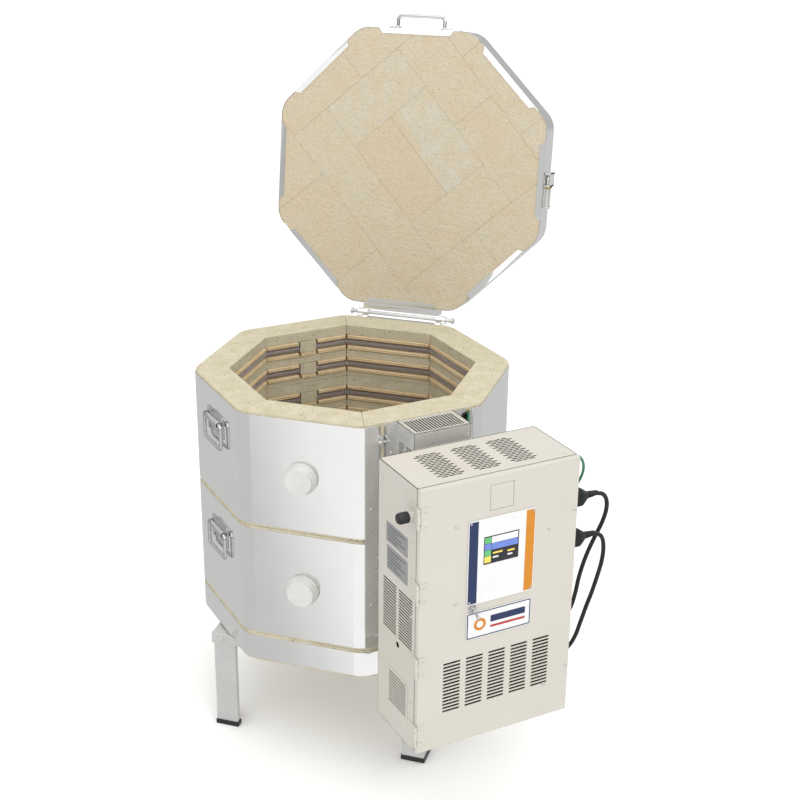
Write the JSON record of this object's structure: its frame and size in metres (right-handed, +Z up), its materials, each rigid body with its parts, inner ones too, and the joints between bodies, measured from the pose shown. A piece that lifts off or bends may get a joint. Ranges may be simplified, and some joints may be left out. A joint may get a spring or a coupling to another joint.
{
  "type": "top-loading electric pottery kiln",
  "caption": "Eight-sided top-loading electric kiln of stacked firebrick rings in steel jackets, with a hinged lid, a stand and a control box with jumper cords.",
  "frame": {"origin": "on the floor under the middle of the kiln's box, cords and their plugs left out", "axes": "+X to the right of someone facing the peepholes, +Y back towards the lid's hinge, +Z up"},
  "size_m": [0.8222, 0.9612, 1.3449],
  "materials": {
    "brick": "soft white insulating firebrick, specked",
    "holder": "fired hard ceramic, matt",
    "coil": "oxidised resistance wire",
    "stainless": "bright stainless sheet",
    "galvanised": "plated sheet steel",
    "chrome": "polished plating",
    "steel": "galvanised steel, dull",
    "cream": "warm cream powder coat, fine texture",
    "white": "white cast ceramic, matt",
    "plaque": "printed panel",
    "black": "moulded black plastic",
    "cord": "black flexible cord jacket",
    "screen": "glossy display window",
    "board": "green circuit board",
    "green": "green wire insulation"
  },
  "bodies": {
    "kiln": {"stand_frame": "steel", "floor_slab": "brick", "floor_band": "stainless", "thermocouple": "white", "element_cover": "galvanised", "mounting_rail": "galvanised", "control_box_bracket": "cream", "control_case": "cream", "relay_bank": "black", "outlet_sockets": "black", "supply_gland": "black", "hinge_bracket": "stainless", "hinge_rod": "steel", "upper_jumper_cord": "cord", "lower_jumper_cord": "cord", "ground_wire": "green", "upper_jumper_plug": "black", "lower_jumper_plug": "black", "leg_front_left": "steel", "foot_cap_front_left": "black", "leg_front_right": "steel", "foot_cap_front_right": "black", "leg_back_left": "steel", "foot_cap_back_left": "black", "leg_back_right": "steel", "foot_cap_back_right": "black", "upper_brick_ring": "brick", "upper_jacket": "stainless", "upper_left_handle_plate": "chrome", "upper_right_handle_plate": "chrome", "lower_brick_ring": "brick", "lower_jacket": "stainless", "lower_left_handle_plate": "chrome", "lower_right_handle_plate": "chrome", "element_holders_course_1": "holder", "heating_element_1": "coil", "element_holders_course_2": "holder", "heating_element_2": "coil", "element_holders_course_3": "holder", "heating_element_3": "coil", "element_holders_course_4": "holder", "heating_element_4": "coil"},
    "lid": {"lid_slab": "brick", "lid_band": "stainless", "lid_handle": "chrome", "lid_band_tensioner": "galvanised", "lid_hinge_leaf": "stainless"},
    "control_door": {"control_door": "cream", "overlay_panel": "plaque", "touch_screen": "screen", "name_plate": "plaque", "controller_board": "board"},
    "toggle_lever": {"toggle_lever": "chrome"},
    "fuse_cap": {"fuse_cap": "black"},
    "upper_peephole_plug": {"upper_peephole_plug": "white"},
    "upper_left_handle_bail": {"upper_left_handle_bail": "chrome"},
    "upper_right_handle_bail": {"upper_right_handle_bail": "chrome"},
    "lower_peephole_plug": {"lower_peephole_plug": "white"},
    "lower_left_handle_bail": {"lower_left_handle_bail": "chrome"},
    "lower_right_handle_bail": {"lower_right_handle_bail": "chrome"}
  },
  "joints": [
    {"name": "lid_hinge", "type": "hinge", "parent": "kiln", "child": "lid", "pos_m": [-0.10102, 0.31569, 0.7335], "axis": [1, 0, 0], "range_deg": [0, 99]},
    {"name": "control_door_hinge", "type": "hinge", "parent": "kiln", "child": "control_door", "pos_m": [0.17103, -0.46807, 0.4595], "axis": [0, 0, -1], "range_deg": [0, 110]},
    {"name": "toggle_lever_pivot", "type": "hinge", "parent": "control_door", "child": "toggle_lever", "pos_m": [0.25065, -0.39552, 0.47], "axis": [-0.7071, -0.7071, 0], "range_deg": [0, 50]},
    {"name": "fuse_cap_turn", "type": "hinge", "parent": "kiln", "child": "fuse_cap", "pos_m": [0.14932, -0.45584, 0.66], "axis": [-0.7071, -0.7071, 0], "range_deg": [0, 60]},
    {"name": "upper_peephole_plug_pull", "type": "slide", "parent": "kiln", "child": "upper_peephole_plug", "axis": [0, -1, 0], "range_m": [0, 0.1]},
    {"name": "upper_left_handle_swing", "type": "hinge", "parent": "kiln", "child": "upper_left_handle_bail", "pos_m": [-0.31351, -0.20025, 0.67], "axis": [-0.7071, 0.7071, 0], "range_deg": [0, 100]},
    {"name": "upper_right_handle_swing", "type": "hinge", "parent": "kiln", "child": "upper_right_handle_bail", "pos_m": [0.10347, 0.21673, 0.67], "axis": [0.7071, -0.7071, 0], "range_deg": [0, 100]},
    {"name": "lower_peephole_plug_pull", "type": "slide", "parent": "kiln", "child": "lower_peephole_plug", "axis": [0, -1, 0], "range_m": [0, 0.1]},
    {"name": "lower_left_handle_swing", "type": "hinge", "parent": "kiln", "child": "lower_left_handle_bail", "pos_m": [-0.31351, -0.20025, 0.4414], "axis": [-0.7071, 0.7071, 0], "range_deg": [0, 100]},
    {"name": "lower_right_handle_swing", "type": "hinge", "parent": "kiln", "child": "lower_right_handle_bail", "pos_m": [0.10347, 0.21673, 0.4414], "axis": [0.7071, -0.7071, 0], "range_deg": [0, 100]}
  ]
}
